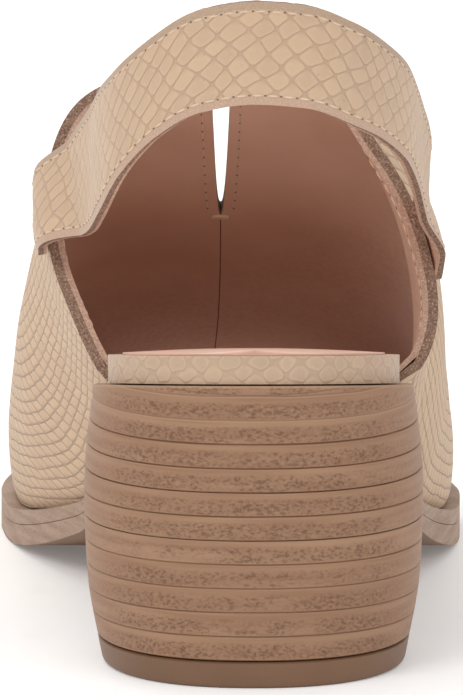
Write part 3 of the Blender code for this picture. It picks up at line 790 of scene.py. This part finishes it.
# Heel: outlines at rising levels, with a shallow groove at each joint between lifts.
heel = {
    "width": 0.065, "footLength": 0.044, "breastCorner": 0.003, "topPiece": 0.005, "lift": 0.0046,
    "grooveDepth": 0.00028, "grooveHeight": 0.0005, "rearSteps": 56, "cornerSteps": 6, "breastSteps": 6,
    "groove": [(-0.5, 0.0), (-0.2, -0.5), (0.0, -1.0), (0.2, -0.5), (0.5, 0.0)],  # height, depth
    "barrel": [(0.0, 0.892), (0.3, 0.983), (0.57, 1.0), (0.85, 0.955), (1.0, 0.906)],
}
barrel = smoothCurve(heel["barrel"], 1, heel["width"] / 2, last["heelHeight"])


def breast(z):
    foot = heel["footLength"] - sole["gap"]
    return foot + (seat["length"] - heel["footLength"]) * min(z / seatEnd, 1.0)


def heelOutline(halfWidth, front, grow):
    points = []
    half, depth = halfWidth + grow, seat["rearDepth"]
    for i in range(heel["rearSteps"] + 1):
        angle = math.pi * i / heel["rearSteps"]
        reach = math.sin(angle) ** (2 / seat["rearPower"])
        across = math.copysign(abs(math.cos(angle)) ** (2 / seat["rearPower"]), -math.cos(angle))
        points.append((across * half, depth - reach * (depth + grow)))
    steps = heel["cornerSteps"]
    corner = []
    for i in range(steps + 1):
        angle = math.pi / 2 * i / steps
        corner.append((half - heel["breastCorner"] * (1 - math.cos(angle)),
                       front + grow - heel["breastCorner"] * (1 - math.sin(angle))))
    count = heel["breastSteps"]
    for i in range(1, count + 1):  # straight side, in a few steps so that its shading stays even
        points.append((half, depth + (corner[0][1] - depth) * i / (count + 1)))
    mirrored = [(-x, y) for x, y in reversed(points[-count:])]
    return points + corner + [(-x, y) for x, y in reversed(corner)] + mirrored


def block(name, levels, finish, replaces, sharp=60):  # outlines at rising levels: height, growth
    bm = bmesh.new()
    cap = None
    for heightOf, grow in levels:
        middle = heightOf(seat["rearDepth"])
        outline = heelOutline(barrel(middle), breast(middle), grow)
        if cap is None:
            cap = bm.faces.new([bm.verts.new((x, y, heightOf(y))) for x, y in outline])
            continue
        made = bmesh.ops.extrude_face_region(bm, geom=[cap], use_keep_orig=len(bm.faces) == 1)["geom"]
        cap = next(item for item in made if isinstance(item, bmesh.types.BMFace))
        for vert, (x, y) in zip([loop.vert for loop in cap.loops], outline):
            vert.co = (x, y, heightOf(y))
    bmesh.ops.recalc_face_normals(bm, faces=bm.faces)
    finishPiece(name, bm, [finish], replaces, sharp)


def at(z):
    return lambda y: z


bottom = heel["topPiece"] + sole["gap"]
room = seatEnd - bottom - 0.0005
levels = [(at(bottom), -0.0004), (at(bottom + 0.0003), 0.0)]
for i in range(1, int(room / heel["lift"]) + 1):
    joint = bottom + i * heel["lift"]
    for offset, grow in heel["groove"]:
        levels.append((at(joint + offset * heel["grooveHeight"]), grow * heel["grooveDepth"]))
levels.append((lambda y: seatPlane(y) - 0.0004, 0.0))
levels += [(lambda y: seatPlane(y) - 0.0001, -0.0001), (seatPlane, -0.0004)]
block("heelLifts", levels, heelLeather, "heel_stack")

top = heel["topPiece"]
levels = [(at(0.0), -0.0008), (at(0.0002), -0.0004), (at(0.0005), -0.0001), (at(0.0009), 0.0),
          (at(top * 0.5), 0.00005), (at(top - 0.0003), 0.0), (at(top), -0.0003)]
block("topPiece", levels, topPieceRubber, "heel_top_piece")


# Sole, seat and sock: slabs between a left and a right edge.
layers = {
    "rows": 150, "outline": 200, "sockColumns": 20, "sockLift": 0.00005,
    "soleBevel": 0.0004, "lipBevel": 0.0011, "seatBevel": 0.0026, "sockBevel": 0.00025,
}


def slab(rear, tip, sideOf, topOf, bottomOf, topBevel, bottomBevel, columns=6, crown=0.0):
    def place(across, forward):
        y = rear + (tip - rear) * (1 - math.cos(forward * math.pi)) / 2
        rise = crown * (1 - (2 * across - 1) ** 2)
        return sideOf(y, -1) * (1 - across) + sideOf(y, 1) * across, y, topOf(y) + rise

    bm, flat, shift = sheet(columns, layers["rows"], place)
    bmesh.ops.remove_doubles(bm, verts=bm.verts, dist=2e-6)
    for vert in bm.verts:
        vert[shift] = (0, 0, bottomOf(vert.co.y) - vert.co.z)
    moved = thicken(bm, shift)
    for low, bevel in ((False, topBevel), (True, bottomBevel)):
        edges = {edge for face in bm.faces for edge in face.edges if len(edge.link_faces) == 2
                 and all(vert in moved for vert in edge.verts) == low
                 and any(vert in moved for vert in edge.verts) == low
                 and edge.calc_face_angle(0) > 0.6}
        if bevel:
            bmesh.ops.bevel(bm, geom=list(edges), offset=bevel, segments=4, profile=0.5, affect="EDGES",
                            material=-1, clamp_overlap=True)
    return bm


def outsoleTop(y):
    share = sole["outsole"] / (sole["outsole"] + sole["midsole"])
    return soleBottom(y) + (edgeThickness * soleShare(y) - sole["gap"]) * share


small = layers["soleBevel"]
bm = slab(seat["length"], length, soleSide, outsoleTop, soleBottom, small, small)
for face in bm.faces:
    if face.normal.z < -0.8:
        face.material_index = 1
finishPiece("outsoleLayer", bm, [soleLeather, treadRubber], "outsole")

bm = slab(seat["length"], length, soleSide, soleTop, lambda y: outsoleTop(y) + sole["gap"] * 0.4,
          layers["lipBevel"], small)
finishPiece("midsoleLayer", bm, [soleLeather], "midsole")

bedTip = length - sole["lip"] - seat["wall"] - sole["gap"]


def rearRound(y, rear, depth):
    s = min(max((rear + depth - y) / depth, 0.0), 1.0)
    return (1 - s ** seat["rearPower"]) ** (1 / seat["rearPower"])


def bedSide(y, side):
    rounded = side * seat["width"] / 2 * rearRound(y, seat["inset"], seat["rearDepth"])
    wallY = max(y, seat["length"])
    inside = soleSide(wallY, side, lip(wallY) + seat["wall"] + sole["gap"], bedTip)
    share = softStep(seat["length"] - seat["rearDepth"] / 2, seat["length"], y)
    return rounded * (1 - share) + inside * share


def bedBottom(y):
    return (seatPlane(y) if y <= seat["length"] else soleTop(y)) + sole["gap"]


def bedTop(y):
    thin = softStep(seat["length"], seat["length"] + 0.03, y)
    return bedBottom(y) + seat["thickness"] * (1 - thin) + seat["bedThickness"] * thin


def roundTheEdge(bm, sideOf, rear, tip, bottomOf):  # lays the scales round the slab's outline
    count = layers["outline"]
    ys = [rear + (tip - rear) * (1 - math.cos(i / count * math.pi)) / 2 for i in range(count + 1)]
    outline = [Vector((sideOf(y, -1), y, 0)) for y in reversed(ys)]
    outline += [Vector((sideOf(y, 1), y, 0)) for y in ys]
    lengths = runningLength(outline)
    tree = kdtree.KDTree(len(outline))
    for i, point in enumerate(outline):
        tree.insert(point, i)
    tree.balance()
    pattern = bm.loops.layers.uv.new("pattern")
    for face in bm.faces:
        for loop in face.loops:
            co = loop.vert.co
            _, index, away = tree.find((co.x, co.y, 0))
            loop[pattern].uv = (lengths[index], co.z - bottomOf(co.y) + away)


bm = slab(seat["inset"], bedTip, bedSide, bedTop, bedBottom, layers["seatBevel"], small)
roundTheEdge(bm, bedSide, seat["inset"], bedTip, bedBottom)
finishPiece("seatCover", bm, [seatScales], "insole")

sockRear, sockTip = seat["inset"] + seat["sockInset"], bedTip - seat["sockInset"]
sockShare = (seat["width"] / 2 - seat["sockInset"]) / (seat["width"] / 2)


def sockSide(y, side):
    bedY = seat["inset"] + (y - sockRear) * (bedTip - seat["inset"]) / (sockTip - sockRear)
    middle = (bedSide(bedY, -1) + bedSide(bedY, 1)) / 2
    return middle + (bedSide(bedY, side) - middle) * sockShare


crown = sole["gap"] + seat["sock"] - seat["sockEdge"]
bm = slab(sockRear, sockTip, sockSide, lambda y: bedTop(y) + seat["sockEdge"],
          lambda y: bedTop(y) + layers["sockLift"], layers["sockBevel"], 0, layers["sockColumns"], crown)
finishPiece("sockLeather", bm, [sockLeather], "sock_lining")


# Stitches: a thread for every stitch, and a dark bead of painted shade at every needle hole.
stitch = {
    "pitch": 0.0030, "length": 0.0021, "width": 0.00042, "height": 0.0002, "hole": 0.00026,
    "fromEdge": 0.0018, "slitEdge": 0.0021, "strapSteps": 400, "strapFrom": 0.012, "strapReach": 0.976,
    "backSteps": 160, "backFrom": 0.05, "backReach": 0.925, "slitSteps": 100, "slitReach": 0.93,
}


def bead(bm, place, axes, size, around=8, rings=5):  # a ball stretched along three directions
    turn = Matrix(axes).transposed().to_4x4()
    matrix = Matrix.Translation(place) @ turn @ Matrix.Diagonal((*size, 1))
    bmesh.ops.create_uvsphere(bm, u_segments=around, v_segments=rings, radius=1.0, matrix=matrix)


def sewRow(threads, holes, samples):  # samples: places and ways out
    lengths = runningLength([place for place, out in samples])
    count = max(int(lengths[-1] / stitch["pitch"]), 1)
    for k in range(count + 1):
        for offset, target in ((0.0, holes), (0.5, threads)):
            distance = (k + offset) * lengths[-1] / (count + 0.5)
            i = min(max(bisect_right(lengths, distance) - 1, 0), len(samples) - 2)
            span = lengths[i + 1] - lengths[i]
            s = (distance - lengths[i]) / span if span else 0
            place = samples[i][0].lerp(samples[i + 1][0], min(s, 1))
            out = samples[i][1].lerp(samples[i + 1][1], min(s, 1)).normalized()
            ahead = (samples[i + 1][0] - samples[i][0]).normalized()
            across = out.cross(ahead).normalized()
            ahead = across.cross(out)
            if target is threads:
                size = (stitch["length"] / 2, stitch["width"] / 2, stitch["height"])
            else:
                size = (stitch["hole"], stitch["hole"] * 0.8, stitch["hole"] * 0.35)
            bead(target, place, (ahead, across, out), size)


threads, holes = bmesh.new(), bmesh.new()
for upper in (False, True):
    samples = []
    for i in range(stitch["strapSteps"] + 1):
        run = stitch["strapFrom"] + stitch["strapReach"] * i / stitch["strapSteps"]
        share = min(stitch["fromEdge"] / strapWidth(run), 0.5)
        samples.append(strapPoint(run, 1 - share if upper else share, strap["thickness"]))
    sewRow(threads, holes, samples)
finishPiece("strapStitches", threads, [threadCream])
finishPiece("strapNeedleHoleShade", holes, [holeShade])


# A point that deep under the vamp's outer face, and the way out.
def vampSkin(side, girth, forward, depth):
    d = vamp["probe"]
    low, high = max(girth - d, 0), min(girth + d, 1)
    back, front = max(forward - d, 0), min(forward + d, 1)
    alongGirth = vampPoint(side, high, forward) - vampPoint(side, low, forward)
    alongForward = vampPoint(side, girth, front) - vampPoint(side, girth, back)
    out = alongForward.cross(alongGirth).normalized() * -side
    if out.z < 0 and girth > 0.5:
        out = -out
    if out.x * side < 0 and girth <= 0.5:
        out = -out
    return vampPoint(side, girth, forward) - out * depth, out


# The forward share of a row that lies at that distance from the open back.
def shareForLength(side, girth, distance, probe=0.05):
    start, end = vampPoint(side, girth, 0.0), vampPoint(side, girth, probe)
    return probe * distance / max((end - start).length, tiny)


# The girth share of a row that lies that far beside the slit's edge, found by halving.
def girthFromSlit(side, forward, distance, halvings=24):
    low, high = 0.8, 1.0
    for _ in range(halvings):
        middle = (low + high) / 2
        point = vampPoint(side, middle, forward)
        away = abs(point.x - ridgeX(point.y)) - slitHalf(point.y)
        low, high = (middle, high) if away > distance else (low, middle)
    return low


threads, holes = bmesh.new(), bmesh.new()
for side in (-1, 1):
    for inside in (False, True):
        depth = seat["wall"] if inside else 0.0
        samples = []
        for i in range(stitch["backSteps"] + 1):  # up the open back
            girth = stitch["backFrom"] + stitch["backReach"] * i / stitch["backSteps"]
            forward = shareForLength(side, girth, stitch["fromEdge"])
            place, out = vampSkin(side, girth, forward, depth)
            samples.append((place, out * (-1 if inside else 1)))
        start = shareForLength(side, 1.0, stitch["fromEdge"])
        for i in range(1, stitch["slitSteps"] + 1):  # and along the slit to its tip
            forward = start + vamp["slitRows"] * stitch["slitReach"] * i / stitch["slitSteps"]
            girth = girthFromSlit(side, forward, stitch["slitEdge"])
            place, out = vampSkin(side, girth, forward, depth)
            samples.append((place, out * (-1 if inside else 1)))
        sewRow(threads, holes, samples)
finishPiece("vampStitches", threads, [threadCream])
finishPiece("vampNeedleHoleShade", holes, [holeShade])

# Bar tack under the slit, sewn through both faces, and the closed seam that runs on from it.
tack = {"rows": 5, "width": 0.0036, "height": 0.0011, "thread": 0.00042,
        "fromSlit": 0.004, "lift": 0.0001}
closed = {
    "steps": 120, "fromSlit": 0.008, "end": 0.985, "overlap": 0.62, "width": 0.00013, "height": 0.00008,
    "probe": 0.03,
}
threads = bmesh.new()
seam = bmesh.new()
slitEnd = vamp["slitRows"]
across = Vector((1, 0, 0))
for inside in (False, True):
    depth = seat["wall"] if inside else 0.0
    flip = -1 if inside else 1
    ahead = (vampPoint(-1, 1.0, slitEnd + closed["probe"]) - vampPoint(-1, 1.0, slitEnd)).normalized()
    out = across.cross(ahead).normalized()
    place = vampPoint(-1, 1.0, slitEnd + tack["fromSlit"]) - out * depth
    for k in range(tack["rows"]):
        raised = out * flip * tack["lift"]
        centre = place + ahead * tack["height"] * (k / (tack["rows"] - 1) - 0.5) + raised
        size = (tack["width"] / 2, tack["thread"] / 2, tack["thread"] / 2)
        bead(threads, centre, (across, ahead, out), size, 10, 6)
    previous = None
    for i in range(closed["steps"] + 1):
        forward = slitEnd + closed["fromSlit"] + (closed["end"] - slitEnd) * i / closed["steps"]
        place = vampPoint(-1, 1.0, forward) - out * depth
        if previous is not None:
            ahead = (place - previous).normalized()
            out = across.cross(ahead).normalized()
            size = ((place - previous).length * closed["overlap"], closed["width"], closed["height"])
            bead(seam, (place + previous) / 2, (ahead, across, out), size, 6, 4)
        previous = place
finishPiece("barTack", threads, [threadCream])
finishPiece("centreSeam", seam, [seamLine])
